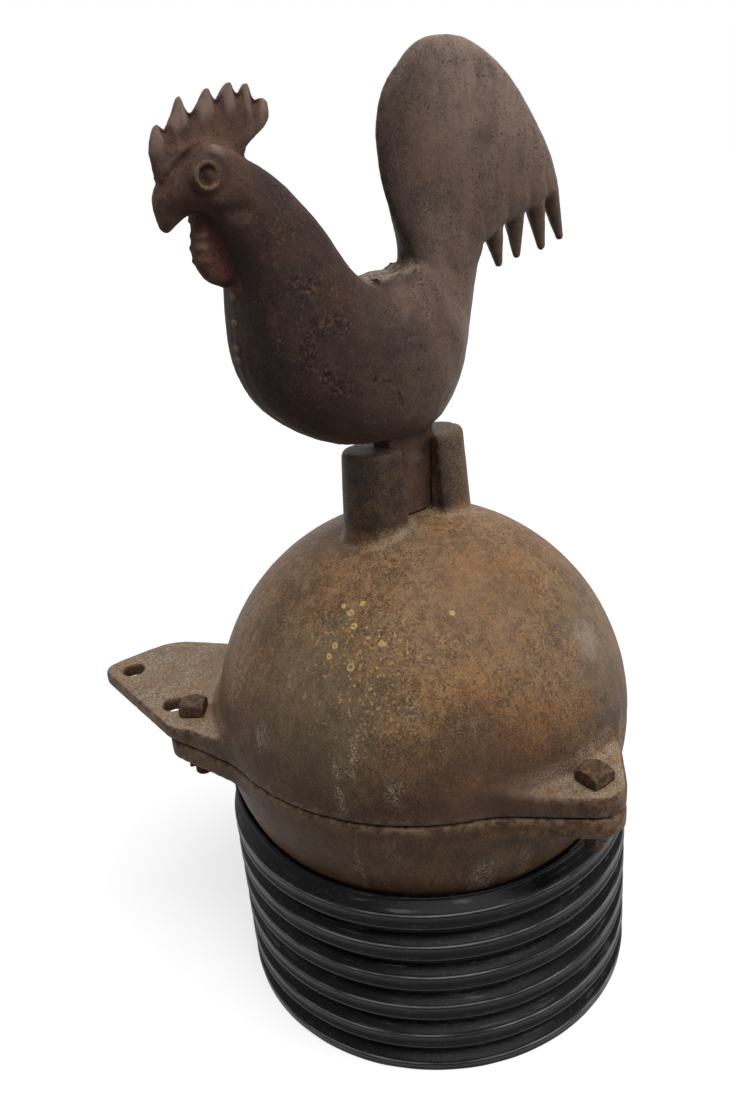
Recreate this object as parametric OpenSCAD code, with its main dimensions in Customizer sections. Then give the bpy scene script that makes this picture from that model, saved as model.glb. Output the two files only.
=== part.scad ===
// Windmill weight: a cast-iron rooster on a hollow two-part iron ball, standing in a ribbed ring.
// The rooster looks towards -X and its tail is at +X. The origin is the middle of the ring's foot.

/* [Ball] */
// Outer diameter of the ball
ball_d = 270; // [250:1:300]
// Wall of both ball halves
ball_wall = 12; // [9:0.5:15]
// Open joint line between the two halves
seam_gap = 0.4; // [0.2:0.1:0.8]

/* [Ears] */
// Distance of each ear bolt from the ball's outer face
bolt_stand_off = 16; // [16:0.5:20]
// Radius of the round end of an ear
ear_end_r = 18; // [16:0.5:22]
// Height of each ear, above and below the seam
ear_h = 14; // [10:0.5:18]
// Angle of an ear's flanks to its middle line
ear_flank_angle = 45; // [38:1:50]
// Radius that blends an ear's flank into the ball
ear_blend_r = 60; // [30:5:90]
// Radius of the fillet between the upper ears, the plate and the ball
upper_fillet_r = 12; // [8:0.5:14]
// Radius of the fillet between the lower ears and the ball
lower_fillet_r = 4; // [3:0.5:4.5]

/* [Ear bolts] */
// Diameter of the ear bolts
bolt_d = 11.1; // [10:0.1:12]
// Radial room of a bolt in the ears
bolt_room = 0.6; // [0.3:0.1:1]
// Width across the flats of a bolt head
head_w = 16; // [14:0.5:18]
// Height of a bolt head
head_h = 8.5; // [6:0.5:10]
// Width across the flats of a nut
nut_w = 16; // [15:0.5:18]
// Height of a nut
nut_h = 9.5; // [8:0.5:12]
// Depth of the seat cut into an ear under a bolt head
bolt_seat_depth = 0.5; // [0.3:0.1:1]
// Length of bolt that stands out under the nut
bolt_tail = 9; // [2:0.5:10]
// Radial room between a nut and its bolt
nut_room = 0.3; // [0.2:0.1:0.5]
// Gap under bolt heads, over nuts and at other seats
seat_gap = 0.3; // [0.25:0.05:0.35]

/* [Mounting plate] */
// Thickness of the plate
plate_t = 10; // [7:0.5:13]
// Distance of the plate's straight edge from the ear bolt beside it
plate_edge = 22; // [20:0.5:25]
// Distance of the hole line from the straight edge
plate_hole_inset = 16.5; // [15:0.5:18]
// Distance of the near hole from the ear bolt, along the straight edge
plate_hole_start = 17.5; // [17:0.5:22]
// Distance between the two holes
plate_hole_pitch = 63.5; // [56:0.5:70]
// Diameter of the two holes
plate_hole_d = 14.3; // [12:0.1:15]
// Distance from the far hole to the plate's far edge
plate_margin = 21; // [19:0.5:25]
// Radius of the plate's outer corner
plate_corner_r = 13; // [8:1:16]
// Length of the plate's far edge, from the straight edge to its shoulder
plate_far_l = 42; // [34:1:48]
// Radius of the plate's far shoulder
plate_shoulder_r = 34; // [26:1:40]
// Direction round the ball where the plate's far edge ends
plate_root_angle = 112; // [106:1:118]

/* [Lugs and tang] */
// Height of the lugs above the ball's crown
lug_h = 48; // [42:1:54]
// Half width of a lug at the crown
lug_r = 19.5; // [17.5:0.5:22]
// Half width of a lug at its top
lug_top_r = 16.5; // [14:0.5:17.5]
// Rounding of a lug's top edge
lug_edge_r = 2.5; // [2:0.5:5]
// Reach of a lug from the ball's axis, at the crown
lug_reach = 46; // [41:1:48]
// Clear width between the two lugs
lug_slot = 27; // [24:0.5:30]
// Length of the tang along the rooster
tang_l = 35; // [32:0.5:38]
// Thickness of the tang
tang_t = 16; // [14:0.5:20]
// Height of the tang's root inside the belly
tang_root = 20; // [16:1:26]
// Room around the tang in the lugs' channels
tang_room = 0.5; // [0.3:0.1:0.8]
// Height of the seat on the crown under the tang
seat_h = 1.5; // [1:0.5:4]

/* [Crown bolt] */
// Diameter of the bolt that holds the rooster
crown_bolt_d = 9.5; // [8:0.1:10]
// Radial room of the crown bolt in its holes
crown_bolt_room = 0.3; // [0.2:0.1:0.5]
// Width across the flats of the crown bolt's head
crown_head_w = 14.3; // [13:0.1:16]
// Height of the crown bolt's head
crown_head_h = 6.5; // [5:0.5:8]
// Depth of the bore in the tang
tang_bore = 36; // [30:1:40]
// Bolt length inside the tang
tang_grip = 32; // [26:1:34]
// Radius of the boss inside the crown
crown_boss_r = 16; // [14:0.5:20]
// Depth of the boss below the inner face of the crown
crown_boss_h = 5; // [4:0.5:8]

/* [Rooster] */
// Height of the rooster from the belly to the top of the tail
rooster_h = 214; // [190:1:240]
// Gap between the lugs' tops and the belly
belly_gap = 2.8; // [1:0.2:5]
// Thickness of the rooster's body
body_t = 60; // [50:1:66]
// Thickness of the tail paddle
tail_t = 22; // [16:1:26]
// Thickness of the head at the eye
head_t = 38; // [32:1:42]
// Thickness of the comb
comb_t = 8; // [6:0.5:12]
// Thickness of the wattle
wattle_t = 11; // [9:0.5:16]
// Radius of the ring round the eye
eye_r = 6; // [5:0.25:7]
// Thickness of the ring round the eye
eye_bead = 3.6; // [3:0.2:5]
// Depth of the eye below the head's widest side
eye_sink = 2.4; // [2:0.2:3]
// Radius of a tail point at its root
tail_point_r = 7; // [6:0.5:8]
// Radius of a tail point at its tip
tail_tip_r = 2.8; // [2:0.2:3.6]
// Width of the broken casting gate on the saddle
gate_w = 26; // [18:1:32]

/* [Ballast] */
// Depth of the fill's top below the seam
fill_drop = 26; // [20:1:60]

/* [Stand ring] */
// Height of the ball's middle above the edge that carries it
seat_drop = 54; // [46:1:60]
// Depth of the ribs
rib_depth = 8.5; // [7:0.5:10]
// Distance from rib to rib
rib_pitch = 24; // [22:0.5:28]
// Height of a rib's flat face
rib_land = 11.5; // [9:0.5:13]
// Height of a groove's flat face
groove_land = 4.5; // [3:0.5:6]
// Wall of the ring
ring_wall = 2.4; // [2:0.1:3]
// Number of whole ribs below the groove that carries the ball
rib_count = 5; // [4:1:6]
// Height of the cut rib at the foot
foot_rib_h = 9; // [7:0.5:12]
// Depth of the rim's low side below the edge that carries the ball
rim_low = 4; // [2:0.5:6]
// Height of the rim's high side above the edge that carries the ball
rim_high = 10; // [6:0.5:15]
// Direction round the ring where its rim is lowest
rim_low_angle = -122; // [-140:1:-90]

/* [Hidden] */
$fn = 96;
// Depth that joined shapes run into each other
bite = 1;

iron = "#4a3d34";
dark_iron = "#3a302c";
rusty_steel = "#5c4030";
cement = "#8d8a84";
black_plastic = "#1c1c1e";

ball_r = ball_d / 2;
hollow_r = ball_r - ball_wall;
bolt_circle_r = ball_r + bolt_stand_off;
near_ear_angle = -90;
head_side_ear_angle = 150;
tail_side_ear_angle = 30;
EAR_ANGLES = [near_ear_angle, head_side_ear_angle, tail_side_ear_angle];

// The ring's grooves stand inwards, and the ball sits on the upper edge of the highest one.
groove_r = sqrt(pow(ball_r + seat_gap, 2) - pow(seat_drop, 2));
ring_r = groove_r + ring_wall + rib_depth;
rib_slope = (rib_pitch - rib_land - groove_land) / 2;
foot_crest_z = foot_rib_h - (rib_land + rib_slope) / 2;
seat_groove_z = foot_crest_z + rib_pitch * (rib_count + 0.5);
seat_z = seat_groove_z + groove_land / 2;
ball_z = seat_z + seat_drop + seam_gap;
rim_angle = atan((rim_low + rim_high) / (2 * ring_r));
ring_top_z = seat_z + rim_high + bite;

crown_z = ball_r + seat_h;
lug_top_z = ball_r + lug_h;

function lerp(a, b, t) = a + (b - a) * t;
function arc(cx, cy, r, a0, a1, n) = [
    for (i = [0 : n]) let (a = lerp(a0, a1, i / n)) [cx + r * cos(a), cy + r * sin(a)]
];
// Catmull-Rom value between b and c
function smooth(a, b, c, d, t) =
    b + 0.5 * t * (c - a + t * (2 * a - 5 * b + 4 * c - d + t * (3 * (b - c) + d - a)));
// Rows of numbers, with steps rows worked out between each pair
function smooth_rows(rows, steps) = [
    for (i = [0 : len(rows) - 2], k = [0 : steps - 1])
        smooth(rows[max(i - 1, 0)], rows[i], rows[i + 1], rows[min(i + 2, len(rows) - 1)], k / steps),
    rows[len(rows) - 1]
];
// Closed outline through its points
function smooth_loop(p, steps) = let (n = len(p)) [
    for (i = [0 : n - 1], k = [0 : steps - 1])
        smooth(p[(i + n - 1) % n], p[i], p[(i + 1) % n], p[(i + 2) % n], k / steps)
];

// Half ball above z = 0
module half_ball(r) {
    difference() {
        sphere(r);
        translate([-2 * r, -2 * r, -4 * r]) cube(4 * r);
    }
}

// Blend between an ear's flank and the ball, in the ear's own plan with its bolt on +X
flank_out = [sin(ear_flank_angle), cos(ear_flank_angle)];
flank_in = [-cos(ear_flank_angle), sin(ear_flank_angle)];
end_touch = [bolt_circle_r, 0] + ear_end_r * flank_out;
blend_d = bolt_circle_r * sin(ear_flank_angle) + ear_end_r + ear_blend_r;
blend_c = blend_d * flank_out - sqrt(pow(ball_r + ear_blend_r, 2) - blend_d * blend_d) * flank_in;
blend_a = atan2(blend_c[1], blend_c[0]);
flank_touch = blend_c - ear_blend_r * flank_out;
root_r = ball_r - ball_wall / 2;

// Plan of an ear: round end, straight flanks and hollow blends into the ball
module ear(h) {
    difference() {
        union() {
            linear_extrude(h) polygon([
                root_r * [cos(blend_a), sin(blend_a)],
                ball_r * [cos(blend_a), sin(blend_a)],
                flank_touch,
                end_touch,
                [end_touch[0], -end_touch[1]],
                [flank_touch[0], -flank_touch[1]],
                ball_r * [cos(blend_a), -sin(blend_a)],
                root_r * [cos(blend_a), -sin(blend_a)]
            ]);
            translate([bolt_circle_r, 0, 0]) cylinder(h, r = ear_end_r);
        }
        for (side = [-1, 1])
            translate([blend_c[0], side * blend_c[1], -bite]) cylinder(h + 2 * bite, r = ear_blend_r);
    }
}

// Hollow fillet all round the ball, from the level of the ears' flats, with its ends sunk a little
fillet_sink = 0.03;
module fillet_ring(r) {
    z = ear_h + r - fillet_sink;
    c = [sqrt(pow(ball_r + r - fillet_sink, 2) - z * z), z];
    a = atan2(c[1], c[0]);
    rotate_extrude() polygon(concat(
        [root_r * [cos(a), sin(a)], [root_r, ear_h - bite], [c[0], ear_h - bite]],
        arc(c[0], c[1], r, 270, 180 + a, 8)
    ));
}

module ears(h) {
    for (a = EAR_ANGLES) rotate([0, 0, a]) ear(h);
}

module ear_bolt_holes() {
    for (a = EAR_ANGLES)
        rotate([0, 0, a]) translate([bolt_circle_r, 0, -2 * ear_h])
            cylinder(4 * ear_h, r = bolt_d / 2 + bolt_room);
}

// Flat seats for the bolt heads, cut into the fillets and a little into the ears
bolt_seat_r = head_w / sqrt(2) + 1.2;
module bolt_seats() {
    for (a = EAR_ANGLES)
        rotate([0, 0, a]) translate([bolt_circle_r, 0, ear_h - bolt_seat_depth])
            cylinder(2 * upper_fillet_r, r = bolt_seat_r);
}

// Flat plate cast on the upper half beside one ear, with a straight edge and two holes along it
plate_bolt = bolt_circle_r * [cos(head_side_ear_angle), sin(head_side_ear_angle)];
plate_edge_x = plate_bolt[0] - plate_edge;
plate_hole_x = plate_edge_x + plate_hole_inset;
plate_hole_y = plate_bolt[1] + plate_hole_start;
plate_far_y = plate_hole_y + plate_hole_pitch + plate_margin;
plate_shoulder = [plate_edge_x + plate_far_l, plate_far_y - plate_shoulder_r];
plate_near_angle = 225;
plate_shoulder_angle = 35;
module mounting_plate(h) {
    translate([0, 0, ear_h - plate_t]) linear_extrude(h)
        polygon(concat(
            [root_r * [cos(head_side_ear_angle), sin(head_side_ear_angle)]],
            arc(plate_bolt[0], plate_bolt[1], plate_edge, plate_near_angle, 180, 6),
            arc(plate_edge_x + plate_corner_r, plate_far_y - plate_corner_r, plate_corner_r, 180, 90, 8),
            arc(plate_shoulder[0], plate_shoulder[1], plate_shoulder_r, 90, plate_shoulder_angle, 8),
            [root_r * [cos(plate_root_angle), sin(plate_root_angle)]]
        ));
}

module plate_holes() {
    for (i = [0, 1])
        translate([plate_hole_x, plate_hole_y + i * plate_hole_pitch, ear_h - plate_t - bite])
            cylinder(plate_t + 2 * bite, r = plate_hole_d / 2);
}

// Half profile of a lug across its width: tapered, with a rounded top edge
function lug_profile() = let (
    c = [lug_top_r - lug_edge_r, lug_top_z - lug_edge_r]
) concat([[0, root_r], [lug_r, root_r]], arc(c[0], c[1], lug_edge_r, 0, 90, 8), [[0, lug_top_z]]);

// One lug: a straight part next to the tang and a round outer end
module lug() {
    end_x = lug_reach - lug_r;
    translate([end_x, 0, 0]) rotate_extrude() polygon(lug_profile());
    for (side = [0, 1])
        translate([lug_slot / 2, 0, 0]) mirror([0, side, 0])
            rotate([90, 0, 90]) linear_extrude(end_x - lug_slot / 2) polygon(lug_profile());
}

module crown() {
    for (a = [0, 180]) rotate([0, 0, a]) lug();
    translate([-lug_slot / 2 - bite, -tang_t / 2, root_r])
        cube([lug_slot + 2 * bite, tang_t, crown_z - root_r]);
}

// Channels in the lugs' inner faces that take the ends of the tang
module tang_channel() {
    l = tang_l + 2 * tang_room;
    w = tang_t + 2 * tang_room;
    translate([-l / 2, -w / 2, crown_z]) cube([l, w, lug_h]);
}

module upper_ball_half() {
    color(iron) translate([0, 0, ball_z]) {
        difference() {
            union() {
                half_ball(ball_r);
                ears(ear_h);
                mounting_plate(plate_t);
                intersection() {
                    fillet_ring(upper_fillet_r);
                    ears(ear_h + 2 * upper_fillet_r);
                }
                intersection() {
                    fillet_ring(upper_fillet_r);
                    mounting_plate(plate_t + 2 * upper_fillet_r);
                }
                crown();
            }
            upper_hollow();
            tang_channel();
            ear_bolt_holes();
            bolt_seats();
            plate_holes();
            cylinder(lug_top_z, r = crown_bolt_d / 2 + crown_bolt_room);
        }
    }
}

// Hollow of the upper half, with the boss for the crown bolt left standing
boss_z = hollow_r - crown_boss_h;
module upper_hollow() {
    difference() {
        sphere(hollow_r);
        translate([0, 0, boss_z]) cylinder(ball_wall, r = crown_boss_r);
    }
}

module lower_ball_half() {
    color(iron) translate([0, 0, ball_z - seam_gap]) mirror([0, 0, 1]) {
        difference() {
            union() {
                half_ball(ball_r);
                ears(ear_h);
                intersection() {
                    fillet_ring(lower_fillet_r);
                    ears(ear_h + 2 * lower_fillet_r);
                }
            }
            sphere(hollow_r);
            ear_bolt_holes();
        }
    }
}

module ballast_fill() {
    color(cement) translate([0, 0, ball_z - seam_gap]) difference() {
        sphere(hollow_r - seat_gap);
        translate([-ball_r, -ball_r, -fill_drop]) cube(ball_d);
    }
}

// Square-head bolt: the underside of the head is at z = 0 and the shank points down
head_chamfer_angle = 40;
module square_bolt(d, w, h, l) {
    intersection() {
        translate([-w / 2, -w / 2, 0]) cube([w, w, h]);
        cylinder(h, r1 = w / 2 + h / tan(head_chamfer_angle), r2 = w / 2);
    }
    translate([0, 0, -l]) cylinder(l + bite, r = d / 2);
}

bolt_l = 2 * ear_h - bolt_seat_depth + seam_gap + 2 * seat_gap + nut_h + bolt_tail;
module ear_bolt(a, turn) {
    head_z = ball_z + ear_h - bolt_seat_depth + seat_gap;
    color(rusty_steel) rotate([0, 0, a]) translate([bolt_circle_r, 0, head_z]) rotate([0, 0, turn])
        square_bolt(bolt_d, head_w, head_h, bolt_l);
}

module near_ear_bolt() ear_bolt(near_ear_angle, 0);
module head_side_ear_bolt() ear_bolt(head_side_ear_angle, -12);
module tail_side_ear_bolt() ear_bolt(tail_side_ear_angle, 0);

module ear_nut(a, turn) {
    top = ball_z - seam_gap - ear_h - seat_gap;
    color(rusty_steel) rotate([0, 0, a]) translate([bolt_circle_r, 0, top - nut_h]) rotate([0, 0, turn])
        difference() {
            translate([-nut_w / 2, -nut_w / 2, 0]) cube([nut_w, nut_w, nut_h]);
            translate([0, 0, -bite]) cylinder(nut_h + 2 * bite, r = bolt_d / 2 + nut_room);
        }
}

module near_ear_nut() ear_nut(near_ear_angle, 0);
module head_side_ear_nut() ear_nut(head_side_ear_angle, 0);
module tail_side_ear_nut() ear_nut(tail_side_ear_angle, 0);

// Bolt from inside the ball, its head under the boss, its end in the tang
module crown_bolt() {
    l = crown_z + tang_grip - boss_z;
    color(rusty_steel) translate([0, 0, ball_z + boss_z - seat_gap]) mirror([0, 0, 1])
        square_bolt(crown_bolt_d, crown_head_w, crown_head_h, l);
}

// Rooster sections from beak to tail, drawn for a rooster that stands drawn_h above its belly.
// Each row has the back edge (x, z), the breast or belly edge (x, z) and the share of its thickness.
HEAD_ROWS = [
    [-137, 135, -134, 132.5, 0.15], [-139, 145, -128, 136.5, 0.32], [-136, 154, -121, 140, 0.55],
    [-124, 164, -113, 137, 0.85], [-108, 172, -107, 123, 1], [-90, 164, -103, 110, 1.12]
];
BODY_ROWS = [
    [-74, 154, -103, 98, 0.74], [-64, 144, -104, 85, 0.84], [-54, 133, -105, 72, 0.92],
    [-46, 122, -104, 60, 0.97], [-39, 111, -100, 47, 1], [-30, 100, -91, 33, 1],
    [-20, 94, -73, 18, 1], [-10, 92, -47, 5, 0.98], [-1, 93, -15, 0, 0.95], [6, 95, 12, 0, 0.9],
    [9, 98, 30, 12, 0.82], [10, 101, 43, 32, 0.74]
];
TAIL_ROWS = [
    [9, 104, 52, 53, 1.55], [8, 110, 59, 76, 1.3], [5, 119, 70, 101, 1.12], [2, 129, 99, 113, 1],
    [-2, 142, 133, 122, 1], [-4, 159, 132, 138, 1], [-3, 174, 124, 154, 1],
    [2, 188, 110, 174, 0.95], [12, 199, 94, 192, 0.85], [30, 208, 76, 205, 0.7],
    [46, 214, 61, 212, 0.3]
];
drawn_h = TAIL_ROWS[len(TAIL_ROWS) - 1][1];
rooster_k = rooster_h / drawn_h;
function scaled(rows, t) = [
    for (r = rows) [for (i = [0 : 4]) r[i] * (i < 4 ? rooster_k : t / 2)]
];
rooster_rows = smooth_rows(concat(
    scaled(HEAD_ROWS, head_t), scaled(BODY_ROWS, body_t), scaled(TAIL_ROWS, tail_t)), 2);
section_sides = 28;
// Fullness of the oval sections: 1 is an ellipse, and less is squarer
oval = 0.88;
function full(v) = sign(v) * pow(abs(v), oval);

// Oval section across one row of the rooster
function section(r) = [
    for (i = [0 : section_sides - 1])
        let (a = 360 * i / section_sides, t = (1 + full(cos(a))) / 2)
            [lerp(r[2], r[0], t), full(sin(a)) * r[4], lerp(r[3], r[1], t)]
];

// Solid skinned over closed sections with the same number of points
module loft(rings) {
    n = len(rings[0]);
    m = len(rings);
    points = [for (ring = rings) each ring];
    side = [for (j = [0 : m - 2], i = [0 : n - 1]) let (a = j * n + i, b = j * n + (i + 1) % n)
        each [[a, b, a + n], [b, b + n, a + n]]];
    first = [for (i = [n - 1 : -1 : 0]) i];
    last = [for (i = [0 : n - 1]) (m - 1) * n + i];
    polyhedron(points, concat(side, [first, last]));
}

COMB = [
    [-135, 156], [-136.4, 164], [-136.8, 169.5], [-135.6, 174.5], [-134, 178], [-132.3, 180.4],
    [-130.9, 181], [-129.6, 180.2], [-127.9, 177.8], [-125.2, 181], [-122.4, 185.2], [-120.3, 189.1],
    [-118.8, 191.5], [-117.5, 192.2], [-116.6, 191.2], [-115.9, 188], [-113.2, 183.8], [-108.6, 188.4],
    [-105.5, 192.3], [-103.4, 194.6], [-102.1, 195.1], [-101.2, 193.8], [-100.4, 191.6],
    [-98.5, 188.9], [-95.8, 192.4], [-92.9, 195.2], [-91, 196.7], [-89.7, 197], [-88.7, 195.8],
    [-88.1, 193.4], [-86.5, 191], [-83.5, 194.2], [-81.7, 195.9], [-80.8, 196.2], [-79.9, 195],
    [-79.1, 192], [-77.4, 187.5], [-75, 188.9], [-72.4, 189.1], [-70.5, 187.2], [-69.8, 182.6],
    [-70.6, 179], [-73.5, 175.4], [-79.5, 171.5], [-85, 167.6], [-89, 162], [-108, 156]
];
WATTLE = [
    [-119, 140], [-120, 129], [-120.5, 122], [-119.8, 117], [-117.8, 112], [-115, 108],
    [-110.5, 105], [-105, 103], [-98, 116], [-103, 139]
];
// Root and tip of each tail point
TAIL_POINTS = [
    [[127, 126], [138, 94]], [[115, 119], [121, 90]], [[97, 114], [99, 88]],
    [[79, 108], [84, 85]]
];
eye_at = rooster_k * [-117, 157];
eye_y = head_t / 2 - eye_sink;
GATE = [
    [-21, 96], [-14, 95], [-5, 97], [3, 96], [9, 100], [10, 89], [-14, 85]
];

// Flat shape standing on the rooster's middle plane
module flat_shape(outline, t) {
    translate([0, t / 2, 0]) rotate([90, 0, 0]) linear_extrude(t) polygon(rooster_k * outline);
}

module tail_point(root, tip) {
    d = tip - root;
    translate([root[0], 0, root[1]]) rotate([0, atan2(d[0], d[1]), 0]) {
        cylinder(norm(d) - tail_tip_r, r1 = tail_point_r, r2 = tail_tip_r);
        translate([0, 0, norm(d) - tail_tip_r]) sphere(tail_tip_r);
    }
}

module eye_ring() {
    for (side = [-1, 1])
        translate([eye_at[0], side * eye_y, eye_at[1]]) rotate([90, 0, 0])
            rotate_extrude() translate([eye_r, 0]) circle(d = eye_bead, $fn = 24);
}

// The tang runs up past the lugs and into the belly.
foot_z = ball_z + crown_z + seat_gap;
belly_z = ball_z + lug_top_z + belly_gap;
module tang() {
    difference() {
        translate([-tang_l / 2, -tang_t / 2, foot_z]) cube([tang_l, tang_t, belly_z + tang_root - foot_z]);
        translate([0, 0, foot_z - bite]) cylinder(tang_bore + bite, r = crown_bolt_d / 2 + crown_bolt_room);
    }
}

module rooster() {
    color(dark_iron) {
        tang();
        translate([0, 0, belly_z]) {
            loft([for (r = rooster_rows) section(r)]);
            flat_shape(COMB, comb_t);
            flat_shape(smooth_loop(WATTLE, 3), wattle_t);
            flat_shape(GATE, gate_w);
            for (p = TAIL_POINTS) tail_point(rooster_k * p[0], rooster_k * p[1]);
            eye_ring();
        }
    }
}

// Ribbed wall: flat ribs and grooves joined by sloped flanks, drawn from the foot upwards
function rib_wave(z) = let (
    u = (z - foot_crest_z) / rib_pitch,
    from_crest = abs(u - round(u)) * rib_pitch
) max(0, min(1, (from_crest - rib_land / 2) / rib_slope));
// Heights where the wall changes direction, between the foot and the top
rib_half = rib_land / 2;
function rib_stations(top) = concat([0], [
    for (k = [0 : rib_count + 2], z = [-rib_half - rib_slope, -rib_half, rib_half, rib_half + rib_slope])
        let (at = foot_crest_z + k * rib_pitch + z)
            if (at > bite / 2 && at < top - bite / 2) at
], [top]);

module stand_ring() {
    zs = rib_stations(ring_top_z);
    outer = [for (z = zs) [ring_r - rib_depth * rib_wave(z), z]];
    inner = [for (i = [len(zs) - 1 : -1 : 0]) outer[i] - [ring_wall, 0]];
    color(black_plastic) difference() {
        rotate_extrude() polygon(concat(outer, inner));
        rotate([0, 0, rim_low_angle + 90]) translate([-2 * ring_r, -ring_r, seat_z - rim_low])
            rotate([rim_angle, 0, 0]) translate([0, -ring_r, 0]) cube([4 * ring_r, 4 * ring_r, ring_r]);
    }
}

stand_ring();
lower_ball_half();
ballast_fill();
upper_ball_half();
near_ear_bolt();
head_side_ear_bolt();
tail_side_ear_bolt();
near_ear_nut();
head_side_ear_nut();
tail_side_ear_nut();
crown_bolt();
rooster();
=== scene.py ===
import math

import bmesh
import bpy
import numpy as np
from mathutils import Matrix, Vector, noise


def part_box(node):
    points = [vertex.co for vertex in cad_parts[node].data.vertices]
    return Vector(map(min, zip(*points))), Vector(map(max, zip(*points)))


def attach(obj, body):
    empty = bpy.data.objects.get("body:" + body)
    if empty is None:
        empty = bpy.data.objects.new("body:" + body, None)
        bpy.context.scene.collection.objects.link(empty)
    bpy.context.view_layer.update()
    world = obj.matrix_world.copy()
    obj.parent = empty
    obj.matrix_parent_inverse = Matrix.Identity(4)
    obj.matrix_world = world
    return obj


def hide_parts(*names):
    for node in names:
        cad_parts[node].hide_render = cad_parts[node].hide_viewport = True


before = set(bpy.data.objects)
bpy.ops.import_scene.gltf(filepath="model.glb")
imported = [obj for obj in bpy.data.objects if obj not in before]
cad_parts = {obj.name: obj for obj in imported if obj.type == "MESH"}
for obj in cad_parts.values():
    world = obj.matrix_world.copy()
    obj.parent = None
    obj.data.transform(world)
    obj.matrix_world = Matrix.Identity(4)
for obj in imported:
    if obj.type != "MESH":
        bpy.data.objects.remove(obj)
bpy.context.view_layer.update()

# Stand ring: a short length of black ribbed plastic pipe that the ball rests in, sawn level at
# the foot and on a slant at the top. Extruded with a thin wall, so the ribs show inside as well.
mm = 0.001
MICRON = 0.001 * mm
RING_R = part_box("stand_ring")[1].x
RING_WALL = 2.4 * mm
RING_STEPS = 216
RIB_PITCH = 24 * mm
RIB_ROWS = 7
FIRST_CREST_Z = 1.25 * mm
# Half of one rib's outline in mm: the depth below the crest and the height from its middle.
RIB_OUTLINE = ((0.5, 0), (0.5, 2.2), (0, 2.9), (0, 5.75), (8.5, 9.75), (8.5, 12))
SHOULDER_ROUND = 1.5 * mm
SHOULDER_ANGLE = math.radians(50)
# The saw cut across the top: the direction and height of its low side, and its rise to the high side.
RIM_LOW_ANGLE = math.radians(-122)
RIM_LOW_Z = 131.5 * mm
RIM_RISE = 14 * mm
# The pipe draws in a little towards its foot, and the saw has left the edge of the foot ragged.
DRAWN_IN = 0.35 * mm
DRAWN_FROM_Z = 110 * mm
DRAWN_FULL_Z = 70 * mm
FOOT_EDGE = 2 * mm
FOOT_RAGGED = 0.9 * mm
# Painted highlights, fine bright lines along each rib: height from the crest's middle and width in mm,
# and strength.
PAINTED_RIB_HIGHLIGHTS = ((5.0, 0.8, 0.95), (2.6, 0.4, 0.35), (-4.6, 0.4, 0.35))


def add_piece(name, mesh):
    mesh.name = name
    piece = bpy.data.objects.new(name, mesh)
    bpy.context.scene.collection.objects.link(piece)
    return piece


def saw_through(bm, point, normal):
    """Cuts away what lies beyond a plane and closes the two walls across the cut."""
    whole = bm.verts[:] + bm.edges[:] + bm.faces[:]
    bmesh.ops.bisect_plane(bm, geom=whole, dist=1e-7, plane_co=point, plane_no=normal, clear_outer=True)
    cut = [e for e in bm.edges if e.is_boundary
           and abs((e.verts[0].co - point).dot(normal)) < 1e-5]
    bmesh.ops.triangle_fill(bm, use_beauty=True, edges=cut, normal=normal)


def lumps(points, size, seed):
    """Smooth noise from about -1 to 1 at each point, with lumps of the given size."""
    shift = Vector((seed * 17.3, seed * 5.7, seed * 11.1))
    return np.array([noise.noise(Vector(p) / size + shift) for p in points])


def ramp(values, start, end):
    """0 up to start and 1 from end on, in a straight line between; start may be the larger."""
    return np.clip((values - start) / (end - start), 0, 1)


def read_points(mesh):
    points = np.empty(len(mesh.vertices) * 3)
    mesh.vertices.foreach_get("co", points)
    return points.reshape(-1, 3)


def write_points(mesh, points):
    mesh.vertices.foreach_set("co", points.ravel())
    mesh.update()


def put_in_order(mesh):
    """Sorts the points and faces by where they lie, as bmesh leaves them in no fixed order."""
    points = read_points(mesh)
    order = np.lexsort(np.round(points / MICRON).T)
    rank = np.argsort(order)
    faces = []
    for face in mesh.polygons:
        corners = [int(rank[point]) for point in face.vertices]
        first = corners.index(min(corners))
        faces.append(corners[first:] + corners[:first])
    mesh.clear_geometry()
    mesh.from_pydata(points[order].tolist(), [], sorted(faces))
    mesh.shade_smooth()


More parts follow.
